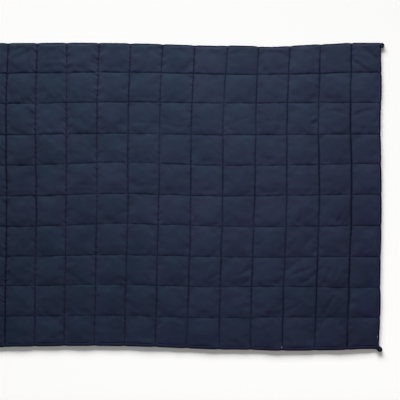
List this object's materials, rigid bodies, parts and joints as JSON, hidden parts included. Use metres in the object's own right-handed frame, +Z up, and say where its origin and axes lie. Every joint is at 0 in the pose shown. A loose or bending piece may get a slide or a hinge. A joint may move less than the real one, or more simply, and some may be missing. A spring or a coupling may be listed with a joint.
{
  "type": "weighted blanket",
  "caption": "Quilted weighted blanket lying open and flat, filled pockets sewn in a square grid, with a folded binding and a rolled loop at each corner.",
  "frame": {"origin": "middle of the blanket's plan, on the surface that it lies on", "axes": "+X along the length, +Y across the width towards the far edge, +Z up out of the surface"},
  "size_m": [1.8602, 1.2244, 0.0097],
  "materials": {
    "quilt_cloth": "matte navy cotton, brushed plain weave",
    "binding_cloth": "matte navy cotton, plain weave",
    "loop_cloth": "matte navy cotton, rolled",
    "sewing_thread": "spun navy thread with a slight sheen"
  },
  "bodies": {
    "root": {"quilted_body": "quilt_cloth", "binding_far": "binding_cloth", "binding_near": "binding_cloth", "binding_left": "binding_cloth", "binding_right": "binding_cloth", "loop_far_left": "loop_cloth", "loop_far_right": "loop_cloth", "loop_near_left": "loop_cloth", "loop_near_right": "loop_cloth"}
  },
  "joints": []
}
